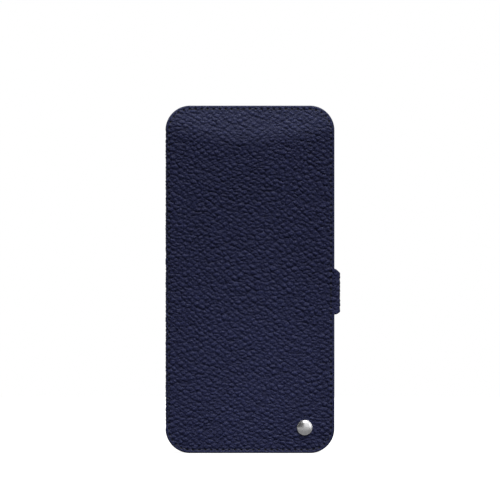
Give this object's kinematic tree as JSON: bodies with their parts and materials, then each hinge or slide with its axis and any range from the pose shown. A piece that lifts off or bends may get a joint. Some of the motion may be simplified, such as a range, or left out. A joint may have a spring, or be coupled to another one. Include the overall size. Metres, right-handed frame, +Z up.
{
  "type": "phone wallet case",
  "caption": "Upright leather folio that closes over a phone with a wrap-round magnetic tab, with card pockets in its cover and a leather-clad tray that holds the phone and detaches.",
  "frame": {"origin": "centre of the bounding box's bottom face, with the case closed and standing on the lower edges of its two panels", "axes": "+X to the tab side seen from the front, +Y from the front cover to the back panel, +Z up along the case's length"},
  "size_m": [0.087, 0.0196, 0.1728],
  "materials": {
    "navy_leather": "pebbled full-grain, satin",
    "tray_leather": "the same leather, stretched smoother over the tray",
    "pocket_leather": "thin smooth leather, matt",
    "suede_lining": "microfibre suede",
    "navy_thread": "bonded thread",
    "stiffener_board": "raw fibre board",
    "spring_steel": "bright rolled",
    "magnet_nickel": "nickel plated",
    "polished_metal": "polished",
    "tray_plastic": "fine matt, moulded"
  },
  "bodies": {
    "back": {"back_leather": "navy_leather", "back_stitching": "navy_thread", "back_board": "stiffener_board", "back_lining": "suede_lining", "magnet_upper_left": "magnet_nickel", "magnet_upper_right": "magnet_nickel", "magnet_lower_left": "magnet_nickel", "magnet_lower_right": "magnet_nickel", "tab_keeper": "spring_steel"},
    "spine": {"spine_leather": "navy_leather", "spine_stiffener": "stiffener_board", "spine_lining": "suede_lining"},
    "cover": {"cover_leather": "navy_leather", "cover_stitching": "navy_thread", "cover_board": "stiffener_board", "cover_lining": "suede_lining", "note_pocket": "pocket_leather", "card_pocket_rear": "pocket_leather", "card_pocket_middle": "pocket_leather", "card_pocket_front": "pocket_leather", "stud": "polished_metal", "stud_washer": "spring_steel"},
    "tab": {"tab_leather": "navy_leather", "tab_lining": "suede_lining", "tab_magnet": "magnet_nickel"},
    "shell": {"shell_leather": "tray_leather", "shell_core": "tray_plastic", "shell_lining": "suede_lining", "shell_steel_plate": "spring_steel"}
  },
  "joints": [
    {"name": "spine_fold", "type": "hinge", "parent": "back", "child": "spine", "pos_m": [-0.04288, 0.00916, 0.0864], "axis": [0, 0, -1], "range_deg": [0, 175]},
    {"name": "cover_fold", "type": "hinge", "parent": "spine", "child": "cover", "pos_m": [-0.04288, -0.00806, 0.0864], "axis": [0, 0, -1], "range_deg": [0, 175]},
    {"name": "tab_fold", "type": "hinge", "parent": "cover", "child": "tab", "pos_m": [0.04261, -0.00779, 0.0803], "axis": [0, 0, -1], "range_deg": [0, 90]},
    {"name": "shell_slide", "type": "slide", "parent": "back", "child": "shell", "axis": [0, 0, 1], "range_m": [0, 0.175]}
  ]
}
